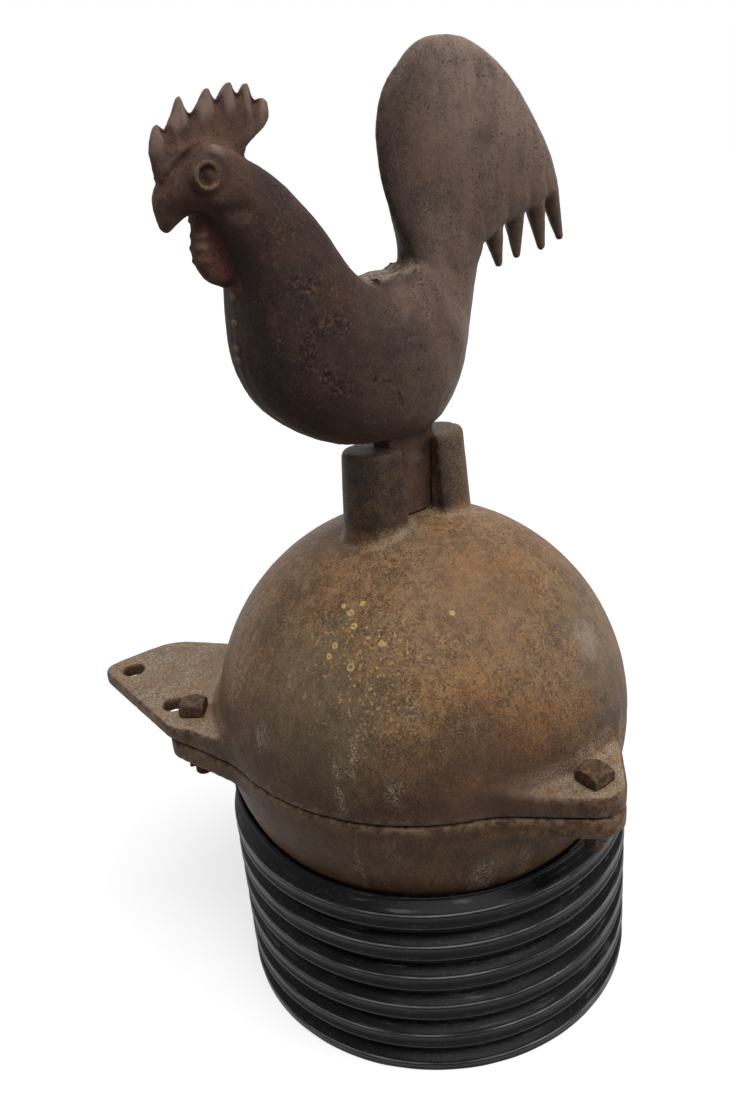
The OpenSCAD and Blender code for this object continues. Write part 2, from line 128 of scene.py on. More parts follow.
class Tone:
    """A number, colour or place on its way through a finish. Arithmetic on it adds Math nodes."""

    def __init__(self, tree, socket):
        self.tree, self.socket = tree, socket

    def make(self, kind, settings=None, out=0, **inputs):
        """Adds a node. An input is given by its name, or as i and its number."""
        node = self.tree.nodes.new(kind)
        for key, value in (settings or {}).items():
            setattr(node, key, value)
        for key, value in inputs.items():
            spot = node.inputs[int(key[1:]) if key[1:].isdigit() else key.replace("_", " ")]
            if isinstance(value, Tone):
                self.tree.links.new(value.socket, spot)
            elif spot.type == "RGBA":
                spot.default_value = (*value, 1)
            else:
                spot.default_value = value
        return Tone(self.tree, node.outputs[out])

    def math(self, operation, first, second=0.0):
        return self.make("ShaderNodeMath", {"operation": operation}, i0=first, i1=second)

    def __add__(self, other):
        return self.math("ADD", self, other)

    def __sub__(self, other):
        return self.math("SUBTRACT", self, other)

    def __rsub__(self, other):
        return self.math("SUBTRACT", other, self)

    def __mul__(self, other):
        return self.math("MULTIPLY", self, other)

    def __truediv__(self, other):
        return self.math("DIVIDE", self, other)

    def __rtruediv__(self, other):
        return self.math("DIVIDE", other, self)

    def __abs__(self):
        return self.math("ABSOLUTE", self)

    __radd__, __rmul__ = __add__, __mul__

    def most(self, other):
        return self.math("MAXIMUM", self, other)

    def band(self, low, high):
        """0 up to low and 1 from high on, with a soft step between; low may be the larger."""
        return self.make("ShaderNodeMapRange", {"interpolation_type": "SMOOTHSTEP"},
                         Value=self, From_Min=low, From_Max=high)

    def between(self, first, second):
        """The first colour where this is 0 and the second where it is 1."""
        return self.make("ShaderNodeMix", {"data_type": "RGBA"}, out=2, i0=self, i6=first, i7=second)

    def vector(self, operation, other, out=0):
        return self.make("ShaderNodeVectorMath", {"operation": operation}, out=out, i0=self, i1=other)

    def cloud(self, size, detail=4.0, rough=0.55):
        return self.make("ShaderNodeTexNoise", Vector=self, Scale=1 / size, Detail=detail, Roughness=rough)

    def drift(self, size, reach):
        """The place pushed about by noise, so that what is drawn on it has a ragged edge."""
        push = self.make("ShaderNodeTexNoise", out=1, Vector=self, Scale=1 / size, Detail=3.0)
        push = push.vector("SUBTRACT", (0.5, 0.5, 0.5)).vector("MULTIPLY", (reach, reach, reach))
        return self.vector("ADD", push)

    def cells(self, size):
        """How far from the middle of its cell, in cell sizes, and a number the cell has at random."""
        far = self.make("ShaderNodeTexVoronoi", Vector=self, Scale=1 / size)
        colour = Tone(self.tree, far.socket.node.outputs[1])
        return far, colour.make("ShaderNodeSeparateColor", i0=colour)

    def part(self, axis):
        return self.make("ShaderNodeSeparateXYZ", out="XYZ".index(axis), i0=self)

    def mask(self, name):
        """The value that add_mask has kept on the piece under this name."""
        return self.make("ShaderNodeAttribute", {"attribute_name": name}, out=2)


def give_finish(piece, finish):
    piece.data.materials.clear()
    piece.data.materials.append(finish)


def start_finish(name, *pieces):
    """Gives the pieces a new material and returns its shader and the place on the piece."""
    finish = bpy.data.materials.new(name)
    finish.use_nodes = True
    for piece in pieces:
        give_finish(piece, finish)
    tree = finish.node_tree
    return tree.nodes["Principled BSDF"], Tone(tree, tree.nodes.new("ShaderNodeTexCoord").outputs["Object"])


def end_finish(skin, colour, rough, height, depth, specular):
    """Joins a colour, a roughness and a bump of the given depth to the shader."""
    bump = height.make("ShaderNodeBump", Height=height, Distance=depth)
    for name, tone in (("Base Color", colour), ("Roughness", rough), ("Normal", bump)):
        colour.tree.links.new(tone.socket, skin.inputs[name])
    skin.inputs["Specular IOR Level"].default_value = specular


bm = bmesh.new()
whole_rib = [(d, -h) for d, h in RIB_OUTLINE[:0:-1]] + list(RIB_OUTLINE)
for wall in (0, RING_WALL):
    row = [bm.verts.new((RING_R - wall - d * mm, 0, FIRST_CREST_Z + h * mm)) for d, h in whole_rib]
    for low, high in zip(row, row[1:]):
        bm.edges.new((low, high))
bmesh.ops.spin(bm, geom=bm.verts[:] + bm.edges[:], cent=(0, 0, 0), axis=(0, 0, 1),
               angle=2 * math.pi, steps=RING_STEPS, use_merge=True)
one_rib = bm.verts[:] + bm.edges[:] + bm.faces[:]
for row in range(1, RIB_ROWS):
    copy = bmesh.ops.duplicate(bm, geom=one_rib)["geom"]
    bmesh.ops.translate(bm, vec=(0, 0, row * RIB_PITCH),
                        verts=[v for v in copy if isinstance(v, bmesh.types.BMVert)])
bmesh.ops.remove_doubles(bm, verts=bm.verts, dist=1e-6)
shoulders = [e for e in bm.edges if len(e.link_faces) == 2
             and e.calc_face_angle(0) > SHOULDER_ANGLE]
bmesh.ops.bevel(bm, geom=shoulders, offset=SHOULDER_ROUND, offset_type="OFFSET", segments=3, profile=0.5,
                affect="EDGES", material=-1)
saw_through(bm, Vector((0, 0, 0)), Vector((0, 0, -1)))
low_side = Vector((math.cos(RIM_LOW_ANGLE), math.sin(RIM_LOW_ANGLE), 0))
slope = math.atan(RIM_RISE / (2 * RING_R))
saw_through(bm, low_side * RING_R + Vector((0, 0, RIM_LOW_Z)),
            low_side * math.sin(slope) + Vector((0, 0, math.cos(slope))))
bmesh.ops.recalc_face_normals(bm, faces=bm.faces)
ring_mesh = bpy.data.meshes.new("ribbed_ring")
bm.to_mesh(ring_mesh)
bm.free()
put_in_order(ring_mesh)
points = read_points(ring_mesh)
drawn = DRAWN_IN * ramp(points[:, 2], DRAWN_FROM_Z, DRAWN_FULL_Z)
drawn *= 0.5 + 0.5 * lumps(points, size=60 * mm, seed=1)
points[:, :2] *= (1 - drawn / RING_R)[:, None]
ragged = FOOT_RAGGED * np.clip(lumps(points, size=22 * mm, seed=2), 0, 1)
points[:, 2] += ragged * ramp(points[:, 2], FOOT_EDGE, 0)
write_points(ring_mesh, points)
ring = add_piece("ribbed_ring", ring_mesh)

skin, place = start_finish("black_pipe_plastic", ring)
pipe_black, crest_painted_sheen = (0.0022, 0.0021, 0.0025), (0.020, 0.0195, 0.021)
pale_dust, dull_scuff = (0.070, 0.058, 0.048), (0.060, 0.055, 0.052)
grey_scratch, tan_speck, painted_rib_highlight = (0.110, 0.104, 0.100), (0.170, 0.135, 0.095), (0.270, 0.262, 0.255)
# The ring's skin unrolled, and drawn together along the ring so that noise on it makes long marks.
turn = place.math("ARCTAN2", place.part("Y"), place.part("X"))
along, far_along, round_ring = (
    place.make("ShaderNodeCombineXYZ", i0=turn * reach, i1=place.part("Z")) for reach in (0.06, 0.015, 0.004))
rib = (place.part("Z") - FIRST_CREST_Z) / RIB_PITCH
from_crest = (rib - rib.math("ROUND", rib)) * RIB_PITCH
dust = place.cloud(9 * mm, 5, 0.65).band(0.54, 0.68)
scuff = along.cloud(1.1 * mm, 3).band(0.58, 0.66) * place.cloud(30 * mm, 4).band(0.48, 0.60)
scratch = round_ring.cloud(0.9 * mm, 3).band(0.54, 0.66) * place.cloud(24 * mm, 4).band(0.42, 0.58)
speck = place.cloud(1.6 * mm, 3, 0.6).band(0.62, 0.69) * place.cloud(34 * mm, 3).band(0.50, 0.60)
colour = (dust * 0.05).between(pipe_black, pale_dust)
colour = (scuff * 0.35).between(colour, dull_scuff)
colour = (scratch * 0.5).between(colour, grey_scratch)
colour = (speck * 0.30).between(colour, tan_speck)
# Painted sheen: the middle of each crest lighter, as where the light catches it.
colour = (abs(from_crest).band(6 * mm, 2.5 * mm) * 0.35).between(colour, crest_painted_sheen)
# Painted highlights along the ribs' shoulders, broken up along the ring.
broken = 0.15 + far_along.cloud(6 * mm, 5, 0.65).band(0.40, 0.60) * 0.85
for height, width, strength in PAINTED_RIB_HIGHLIGHTS:
    line = abs(from_crest - height * mm).band(width * mm, 0)
    colour = (line * broken * strength).between(colour, painted_rib_highlight)
rough = 0.22 + place.cloud(30 * mm, 4) * 0.14 + scuff * 0.2 + dust * 0.1
height = place.cloud(3 * mm, 4) + along.cloud(1.2 * mm, 2) * 0.9
end_finish(skin, colour, rough, height, depth=0.12 * mm, specular=0.08)
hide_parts("stand_ring")
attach(ring, "ring")

# Lower ball half: the bowl of the hollow ball, cast in iron in a sand mould with three ears round
# its rim. Rusted brown all over, darkest near the seam, with the soft edges and lumps of a casting.
BALL_CENTRE_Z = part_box("upper_ball_half")[0].z
LUMP_SIZE = 14 * mm
PIT_SIZE = 4.5 * mm
PIT_LEVEL = 0.35
# Lime left by water that ran down: azimuth, top and bottom from the ball's middle and half width, strength.
BOWL_LIME = ((-147, 0, -62, 1.6, 0.75), (-115, -26, -84, 8, 0.90), (-103, -22, -62, 5, 0.70),
             (-138, -4, -30, 4, 0.45))


def read_normals(mesh):
    normals = np.empty(len(mesh.vertices) * 3)
    mesh.vertex_normals.foreach_get("vector", normals)
    return normals.reshape(-1, 3)


def add_mask(mesh, name, values):
    """Keeps a value for each point, which the finish reads by its name."""
    mesh.attributes.new(name, "FLOAT", "POINT").data.foreach_set("value", values.astype(np.float32))


def neighbours_mean(values, ends, valence):
    """Each point's mean over the points that share an edge with it, one column at a time."""
    total = len(valence)
    return np.column_stack([
        (np.bincount(ends[:, 0], column[ends[:, 1]], total)
         + np.bincount(ends[:, 1], column[ends[:, 0]], total)) / valence
        for column in values.T])


def map_wear(mesh, rounds, depth):
    """Keeps how far each point stands out of its surroundings: edges above 0, hollows below."""
    points = read_points(mesh)
    ends = np.empty(len(mesh.edges) * 2, dtype=np.int32)
    mesh.edges.foreach_get("vertices", ends)
    ends = ends.reshape(-1, 2)
    valence = np.maximum(np.bincount(ends.ravel(), minlength=len(points)), 1)
    settled = points
    for _ in range(rounds):
        settled = neighbours_mean(settled, ends, valence)
    proud = ((points - settled) * read_normals(mesh)).sum(1) / depth
    for _ in range(2):
        proud = neighbours_mean(proud[:, None], ends, valence)[:, 0]
    add_mask(mesh, "worn", np.clip(proud, -1, 1))


def cast_copy(name, node, grain, rounds):
    """The CAD solid as a founder would leave it, with every edge softened by the sand."""
    bm = bmesh.new()
    bm.from_mesh(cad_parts[node].data)
    bmesh.ops.remove_doubles(bm, verts=bm.verts, dist=2e-5)
    solid = bpy.data.meshes.new(name)
    bm.to_mesh(solid)
    bm.free()
    piece = add_piece(name, solid)
    remesh = piece.modifiers.new("grain", "REMESH")
    remesh.mode, remesh.voxel_size, remesh.use_smooth_shade = "VOXEL", grain, True
    soften = piece.modifiers.new("soften", "SMOOTH")
    soften.factor, soften.iterations = 0.5, rounds
    graph = bpy.context.evaluated_depsgraph_get()
    settled = bpy.data.meshes.new_from_object(piece.evaluated_get(graph))
    piece.modifiers.clear()
    piece.data = settled
    settled.name = name
    return piece


def roughen(mesh, seed, lump_depth, pit_depth):
    """Shallow lumps and scattered pits in the skin of a casting, none of them standing proud."""
    points, normals = read_points(mesh), read_normals(mesh)
    sunk = (0.5 + 0.5 * lumps(points, LUMP_SIZE, seed)) * lump_depth
    sunk += np.clip(lumps(points, PIT_SIZE, seed + 1) - PIT_LEVEL, 0, 1) * pit_depth / 0.4
    write_points(mesh, points - normals * sunk[:, None])


def cast_ball_half(name, node, grain, seed):
    half = cast_copy(name, node, grain, rounds=4)
    roughen(half.data, seed, lump_depth=0.25 * mm, pit_depth=0.35 * mm)
    map_wear(half.data, rounds=14, depth=1.6 * mm)
    add_mask(half.data, "topside", np.clip(read_normals(half.data)[:, 2], 0, 1))
    return half


def ball_iron(piece, name):
    """Rusty cast iron: brown mottled with grey and umber, flecked with ochre, dusty on its flats."""
    brown, olive, umber = (0.250, 0.135, 0.064), (0.200, 0.130, 0.074), (0.050, 0.029, 0.019)
    rust, tan, ochre = (0.250, 0.100, 0.030), (0.32, 0.215, 0.120), (0.44, 0.225, 0.070)
    pit_black, grime_and_shade_brown, grime_and_shade_black = (0.026, 0.016, 0.011), (0.074, 0.039, 0.025), (0.030, 0.016, 0.011)
    grey_dust, pale_dust = (0.190, 0.138, 0.092), (0.42, 0.350, 0.265)
    bare_edge, hollow_dust = (0.27, 0.195, 0.132), (0.33, 0.255, 0.175)
    skin, place = start_finish(name, piece)
    worn, topside = place.mask("worn"), place.mask("topside")
    level = place.part("Z") - BALL_CENTRE_Z
    mottle = place.cloud(22 * mm, 6, 0.68)
    smear = place.vector("MULTIPLY", (1, 1, 0.4)).cloud(5 * mm, 5, 0.7)
    grain = place.cloud(0.95 * mm, 2, 0.6)
    colour = place.cloud(80 * mm, 3).band(0.42, 0.58).between(brown, olive)
    colour = (mottle.band(0.47, 0.60) * 0.58).between(colour, umber)
    colour = (smear.band(0.47, 0.60) * 0.55).between(colour, umber)
    colour = (smear.band(0.47, 0.36) * 0.30).between(colour, tan)
    colour = (place.cloud(9 * mm, 6, 0.75).band(0.53, 0.64) * 0.50).between(colour, rust)
    colour = (grain.band(0.46, 0.62) * 0.45).between(colour, umber)
    colour = (grain.band(0.50, 0.34) * 0.45).between(colour, tan)
    pit = place.cloud(1.9 * mm, 3, 0.6).band(0.58, 0.65) * place.cloud(16 * mm, 3).band(0.40, 0.56)
    colour = (pit * 0.75).between(colour, pit_black)
    fleck = place.vector("ADD", (0.21, 0, 0)).cloud(2.0 * mm, 4, 0.65).band(0.57, 0.64)
    fleck = fleck * place.cloud(26 * mm, 3).band(0.42, 0.56)
    colour = (fleck * 0.8).between(colour, ochre)
    flat = topside.band(0.80, 0.95) * level.band(40 * mm, 24 * mm) * level.band(1 * mm, 3 * mm)
    # Darker from above the middle down to the seam and over the bowl: grime, and painted shade where the
    # light from above falls away; none on the dusty flats.
    grime_and_shade = level.band(72 * mm, 14 * mm) * (1 - level.band(-4 * mm, -40 * mm) * 0.25)
    grime_and_shade = grime_and_shade * (0.62 + mottle.band(0.36, 0.58) * 0.35) * (1 - flat)
    colour = (grime_and_shade * 0.9).between(colour, grain.band(0.40, 0.62).between(grime_and_shade_brown, grime_and_shade_black))
    dust = flat * (0.35 + mottle.band(0.40, 0.56) * 0.65) * smear.band(0.34, 0.56)
    colour = (dust * 0.75).between(colour, grain.band(0.58, 0.40).between(grey_dust, pale_dust))
    rubbed = worn.band(0.20, 0.75) * place.cloud(5 * mm, 4).band(0.44, 0.58)
    colour = (rubbed * 0.40).between(colour, bare_edge)
    caught = worn.band(-0.10, -0.6) * grain.band(0.64, 0.40)
    colour = (caught * 0.6).between(colour, hollow_dust)
    return skin, place, colour, grain, fleck


def lime_runs(place, colour, runs):
    """Crumbly pale runs down the ball, with ragged sides and soft ends."""
    lime = (0.52, 0.430, 0.315)
    crumbs = place.cloud(1.3 * mm, 5, 0.8).band(0.49, 0.60)
    ragged = place.drift(9 * mm, 16 * mm)
    level = place.part("Z") - BALL_CENTRE_Z
    for azimuth, high, low, half, strength in runs:
        a = math.radians(azimuth)
        aside = ragged.vector("DOT_PRODUCT", (-math.sin(a), math.cos(a), 0), out=1)
        facing = place.vector("DOT_PRODUCT", (math.cos(a), math.sin(a), 0), out=1).band(50 * mm, 70 * mm)
        run = abs(aside).band(half * 1.5 * mm, half * 0.2 * mm) * facing
        run = run * level.band(high * mm, (high - 12) * mm) * level.band(low * mm, (low + 8) * mm)
        colour = (run * crumbs * strength).between(colour, lime)
    return colour


def ball_iron_end(skin, place, colour, grain, fleck):
    rough = 0.44 + grain * 0.2 + fleck * 0.1
    height = grain * 0.4 + place.cloud(7 * mm, 5, 0.6) * 0.9 + fleck * 0.3
    end_finish(skin, colour, rough, height, depth=0.45 * mm, specular=0.12)


bowl = cast_ball_half("ball_bowl", "lower_ball_half", grain=1.9 * mm, seed=3)
skin, place, colour, grain, fleck = ball_iron(bowl, "lower_ball_iron")
colour = lime_runs(place, colour, BOWL_LIME)
ball_iron_end(skin, place, colour, grain, fleck)
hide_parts("lower_ball_half")
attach(bowl, "lower_half")

# Ballast: cement poured into the bowl to bring the weight up and left to set rough on top.
# It keys to the bowl's inside, so it stays with the lower half.
TOP_LAYER = 12 * mm
BROAD_DIP = 1.6 * mm
FINE_DIP = 0.8 * mm
fill = cast_copy("poured_ballast", "ballast_fill", grain=3 * mm, rounds=3)
points = read_points(fill.data)
top = points[:, 2].max()
dip = BROAD_DIP * (1 + lumps(points, size=30 * mm, seed=5))
dip += FINE_DIP * (1 + lumps(points, size=8 * mm, seed=6))
points[:, 2] -= dip * ramp(points[:, 2], top - TOP_LAYER, top)
write_points(fill.data, points)
skin, place = start_finish("set_cement", fill)
pale_cement, dark_cement = (0.33, 0.31, 0.28), (0.23, 0.21, 0.19)
dark_grit, rust_stain = (0.13, 0.115, 0.10), (0.22, 0.12, 0.06)
grit, pick = place.drift(4 * mm, 2 * mm).cells(5 * mm)
colour = place.cloud(40 * mm, 5).band(0.40, 0.62).between(pale_cement, dark_cement)
colour = (grit.band(0.45, 0.30) * pick.band(0.62, 0.70)).between(colour, dark_grit)
colour = (place.cloud(22 * mm, 4).band(0.60, 0.72) * 0.5).between(colour, rust_stain)
rough = 0.88 + place.cloud(9 * mm) * 0.08
height = place.cloud(3 * mm, 5, 0.65) + grit.band(0.5, 0.25) * 0.4
end_finish(skin, colour, rough, height, depth=0.9 * mm, specular=0.25)
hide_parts("ballast_fill")
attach(fill, "lower_half")

# Upper ball half: the lid of the ball, cast in iron with three ears to match the bowl's, the drilled
# mounting plate at the back and two lugs on the crown that grip the rooster's tang. Bolted to the bowl.
lower_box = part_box("lower_ball_half")
BALL_R = lower_box[1].z - lower_box[0].z
LUG_FOOT = 133 * mm
# Broad tints and small patches: azimuth, height, radius in mm, strength, how broken up, colour.
# The broad grey one on the right at -62 is a painted sheen,
# and the broad dark one low at the front at -112 is painted shade.
TINTS = (
    (-156, 62, 66, 0.45, 0.0, (0.135, 0.104, 0.072)), (-112, 18, 62, 0.55, 0.0, (0.075, 0.042, 0.031)),
    (-96, 112, 60, 0.35, 0.0, (0.240, 0.130, 0.062)), (-62, 60, 60, 0.30, 0.0, (0.170, 0.125, 0.090)),
    (-106, 78, 36, 0.75, 1.0, (0.32, 0.130, 0.036)), (-98, 46, 34, 0.70, 1.0, (0.28, 0.105, 0.030)),
    (-70, 104, 30, 0.50, 1.0, (0.36, 0.190, 0.070)), (-138, 100, 38, 0.60, 1.0, (0.34, 0.195, 0.075)),
    (-68, 68, 18, 0.60, 0.6, (0.36, 0.32, 0.28)), (-175, 34, 12, 0.50, 1.0, (0.44, 0.37, 0.29)),
    (166, 54, 26, 0.55, 1.0, (0.44, 0.37, 0.29)), (155, 84, 22, 0.45, 1.0, (0.42, 0.35, 0.26)),
    (-117, 24, 7, 0.65, 1.0, (0.34, 0.12, 0.035)), (-95, 118, 11, 0.60, 1.0, (0.40, 0.17, 0.045)),
)
# The middle of the ochre spatter, and the rings that drops left as they dried: azimuth, height, radius in mm.
SPLASH = (-146, 82)
DROPS = ((-149, 84, 1.7), (-154, 106, 1.4), (-158, 108, 1.0), (-150, 110, 1.0), (-151, 101, 1.3),
         (-156, 92, 1.2), (-140, 95, 1.2), (-157, 87, 1.1), (-114, 105, 1.0))
# Lime as on the bowl.
DOME_LIME = ((-146, 62, 24, 5, 0.70), (-150, 44, 2, 3, 0.65), (-136, 34, 10, 5, 0.60),
             (-175, 52, 22, 4, 0.60), (-168, 92, 60, 3, 0.40), (-131, 76, 56, 6, 0.45))


def on_ball(azimuth, height):
    """A point on the ball's skin, from an azimuth in degrees and a height above its middle in mm."""
    reach = math.sqrt(BALL_R ** 2 - (height * mm) ** 2)
    a = math.radians(azimuth)
    return Vector((reach * math.cos(a), reach * math.sin(a), BALL_CENTRE_Z + height * mm))


dome = cast_ball_half("ball_dome", "upper_ball_half", grain=1.95 * mm, seed=8)
skin, place, colour, grain, fleck = ball_iron(dome, "upper_ball_iron")
ragged = place.drift(7 * mm, 9 * mm)
speck = place.cloud(2.2 * mm, 5, 0.75).band(0.48, 0.62)
for azimuth, height, radius, strength, broken, tint in TINTS:
    near = ragged.vector("DISTANCE", on_ball(azimuth, height), out=1).band(radius * mm, radius * 0.2 * mm)
    colour = (near * (1 - broken + speck * broken) * strength).between(colour, tint)
ochre_spatter, pale_ring = (0.50, 0.295, 0.090), (0.56, 0.360, 0.125)
splash = ragged.vector("DISTANCE", on_ball(*SPLASH), out=1).band(64 * mm, 18 * mm)
spatter = place.vector("ADD", (0, 0.41, 0)).cloud(2.5 * mm, 3, 0.6).band(0.59, 0.65) * splash
colour = (spatter * 0.85).between(colour, ochre_spatter)
wobble = place.drift(2 * mm, 2 * mm)
for azimuth, height, radius in DROPS:
    off = abs(wobble.vector("DISTANCE", on_ball(azimuth, height), out=1) - radius * mm)
    colour = (off.band(0.9 * mm, 0.3 * mm) * 0.85).between(colour, pale_ring)
colour = lime_runs(place, colour, DOME_LIME)
# The lugs are darker than the crown, with a grey bloom in their pores; the head-side one is darker still,
# with painted shade from the belly that overhangs it.
head_lug_painted_shade, head_lug_bloom_painted_shade = (0.016, 0.011, 0.010), (0.048, 0.033, 0.026)
tail_lug, tail_lug_bloom = (0.052, 0.032, 0.022), (0.150, 0.100, 0.070)
lug = (place.part("Z") - BALL_CENTRE_Z).band(LUG_FOOT, LUG_FOOT + 8 * mm)
lug = lug * (0.72 + place.cloud(8 * mm, 4).band(0.44, 0.60) * 0.22)
tail_side = (place.part("X") + place.part("Y")).band(-4 * mm, 12 * mm)
colour = lug.between(colour, grain.band(0.60, 0.40).between(
    tail_side.between(head_lug_painted_shade, tail_lug), tail_side.between(head_lug_bloom_painted_shade, tail_lug_bloom)))
ball_iron_end(skin, place, colour, grain, fleck)
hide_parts("upper_ball_half")
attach(dome, "upper_half")

# Ear bolts: three square-headed machine bolts dropped through the ears from above. Forged steel,
# rusted dark, with worn corners on the heads and a coarse thread at the lower end.
SIDES = ("near", "head_side", "tail_side")
THREAD_PITCH = 1.95 * mm
THREAD_DEPTH = 0.6 * mm
THREAD_LENGTH = 20 * mm
SHANK_CORE = 3 * mm


def cut_thread(piece, node):
    """A coarse thread wound into the lower end of a bolt's shank."""
    low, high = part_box(node)
    points = read_points(piece.data)
    arm = points[:, :2] - np.array((low + high) / 2)[:2]
    reach = np.maximum(np.hypot(*arm.T), 1e-6)
    wound = points[:, 2] / THREAD_PITCH - np.arctan2(arm[:, 1], arm[:, 0]) / (2 * math.pi)
    wave = np.abs(wound % 1 - 0.5) * 2
    threaded = (points[:, 2] < low.z + THREAD_LENGTH) & (reach > SHANK_CORE)
    sunk = np.where(threaded, wave * THREAD_DEPTH, 0)
    points[:, :2] -= arm / reach[:, None] * sunk[:, None]
    write_points(piece.data, points)


bolts = []
for side in SIDES:
    bolt = cast_copy(side + "_square_bolt", side + "_ear_bolt", grain=0.5 * mm, rounds=4)
    cut_thread(bolt, side + "_ear_bolt")
    roughen(bolt.data, seed=11, lump_depth=0.2 * mm, pit_depth=0.2 * mm)
    map_wear(bolt.data, rounds=10, depth=0.8 * mm)
    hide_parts(side + "_ear_bolt")
    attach(bolt, side + "_bolt")
    bolts.append(bolt)

skin, place = start_finish("rusty_bolt_steel", *bolts)
brown_scale, black_scale, pore_black = (0.130, 0.075, 0.044), (0.060, 0.037, 0.026), (0.035, 0.023, 0.018)
fresh_rust, rubbed_steel = (0.25, 0.110, 0.042), (0.25, 0.180, 0.130)
patch = place.cloud(4 * mm, 5, 0.7)
grain = place.cloud(1.1 * mm, 4, 0.6)
colour = patch.band(0.42, 0.58).between(brown_scale, black_scale)
colour = (patch.band(0.45, 0.36) * 0.5).between(colour, fresh_rust)
colour = (grain.band(0.50, 0.62) * 0.5).between(colour, pore_black)
colour = (place.mask("worn").band(0.15, 0.7) * patch.band(0.36, 0.52) * 0.45).between(colour, rubbed_steel)
end_finish(skin, colour, 0.55 + grain * 0.25, grain + patch * 0.8, depth=0.35 * mm, specular=0.1)
bolt_steel = bolts[0].active_material

# Ear nuts: a square nut on each bolt, drawn up against the bowl's ear from below.
# Same rusted steel as the bolts.
for side in SIDES:
    nut = cast_copy(side + "_square_nut", side + "_ear_nut", grain=0.5 * mm, rounds=4)
    roughen(nut.data, seed=12, lump_depth=0.2 * mm, pit_depth=0.2 * mm)
    map_wear(nut.data, rounds=10, depth=0.8 * mm)
    give_finish(nut, bolt_steel)
    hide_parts(side + "_ear_nut")
    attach(nut, side + "_nut")

# Crown bolt: the bolt that comes up through the crown from inside the ball and draws the tang
# down between the lugs. Same rusted steel as the ear bolts, out of sight in the closed ball.
crown_bolt = cast_copy("crown_square_bolt", "crown_bolt", grain=0.45 * mm, rounds=3)
roughen(crown_bolt.data, seed=13, lump_depth=0.15 * mm, pit_depth=0.15 * mm)
map_wear(crown_bolt.data, rounds=10, depth=0.8 * mm)
give_finish(crown_bolt, bolt_steel)
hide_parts("crown_bolt")
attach(crown_bolt, "crown_bolt_piece")

# Rooster: one iron casting with a tang under its belly, moulded in two halves that meet along the
# outline. The comb, eye, wattle and tail points are in the pattern; the stub on its back is where
# the iron was poured. Dark iron, browner with rust towards the tail.
TANG_LENGTH = 49 * mm
BELLY_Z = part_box("rooster")[0].z + TANG_LENGTH
# Places on the rooster's side in mm: across from the ball's axis and up from the belly.
EYE = (-117, 157)
BROW = ((-131, 161), (-122, 168.5), (-111, 171), (-98, 166))
JAW = ((-126, 140), (-114, 139), (-101, 140))
HACKLE = ((-92, 132), (-86, 122), (-74, 113), (-64, 104), (-58, 92))
SCRATCH = ((-80, 117), (-72, 114), (-64, 107))
SCAR = ((-40, 46), (-29, 43), (-25, 36), (-22, 33), (-19, 24))
COMB_VALLEYS = ((-128, 178), (-113, 184), (-98.5, 189), (-86.5, 191), (-77.5, 187.5))
COMB_TIPS = ((-131, 181), (-117.5, 192), (-102, 195), (-89.5, 197), (-81, 196))
COMB_FRONT = ((-136, 160), (-137, 169.5), (-134, 178))
COMB_BACK = ((-72.5, 189), (-70, 182.5), (-73.5, 175.5), (-85, 167.5))
COMB_EDGE = (*COMB_FRONT, *(spot for pair in zip(COMB_TIPS, COMB_VALLEYS) for spot in pair), *COMB_BACK)
WATTLE_EDGE = ((-119, 138), (-120.5, 122), (-118, 112), (-115, 108), (-110.5, 105), (-105, 103))
WATTLE_ROOT = ((-95, 135), (-97, 126), (-100, 114), (-104, 105))
WATTLE_RIDGES = ((-117, 130.5), (-118, 125), (-117, 118.5))
WATTLE_FRONT = ((-108, 104), (-120, 134))
TAIL_VALLEYS = ((124, 116), (107, 112), (88, 106.5), (69, 100))
TAIL_FRONT = ((10, 104), (2, 128), (-2, 141), (-4, 169), (1, 189), (15, 202))
TAIL_SHOULDER = ((14, 200), (46, 213))
# The heights of the chips down the breast's edge, and the places and radii of the pits on its flank.
CHIPS = (98, 85, 72, 66)
FLANK_PITS = ((-77, 77, 6.25), (-69, 80, 7.5), (-61, 80, 7.5), (-55, 77, 6.25), (-80, 70, 6.25), (-79, 62, 5),
              (-69, 54, 6.25), (-62, 46, 6.25), (-57, 42, 6.25), (-66, 44, 3.75), (-80, 104, 6.25),
              (-72, 100, 6.25))
# The eyeball and the hollows round it: radius, width and height in mm.
EYE_RINGS = ((0, 2.6, 1.5), (3.8, 1.0, -1.2), (6, 1.5, -0.6), (9.2, 1.8, -1.3))
# Lines carved in the pattern or scored since: path, width and height in mm.
CARVED_LINES = ((BROW, 4.0, 1.8), (WATTLE_ROOT, 2.6, -0.9), (SCRATCH, 1.1, -0.35))
# The comb and the wattle thin towards their edges: edge, and the heights between which it lies.
THIN_EDGES = ((COMB_EDGE, 158, 200), (WATTLE_EDGE, 100, 136))
EDGE_THICKNESS = 0.42
# Full curves where the plain solid runs straight: chord, its bow and the width it reaches.
BOWS = ((TAIL_SHOULDER, 3.4, 22), (WATTLE_FRONT, 3.0, 8))


def off_path(flat, path):
    """How far each point of the rooster's side lies from a line drawn on it."""
    best = np.full(len(flat), 1e9)
    for start, end in zip(path, path[1:]):
        start, way = np.array(start), np.subtract(end, start)
        share = np.clip((flat - start) @ way / (way @ way), 0, 1)
        best = np.minimum(best, np.hypot(*(flat - start - share[:, None] * way).T))
    return best


def swell(distance, width):
    """1 at no distance, falling away softly over the width."""
    return np.exp(-(distance / width) ** 2)


rooster = cast_copy("rooster_casting", "rooster", grain=1.12 * mm, rounds=3)
points, normals = read_points(rooster.data), read_normals(rooster.data)
flat = points[:, (0, 2)] / mm - np.array((0, BELLY_Z / mm))
across, up = flat.T
thick = points[:, 1] / mm
flank = np.abs(normals[:, 1])
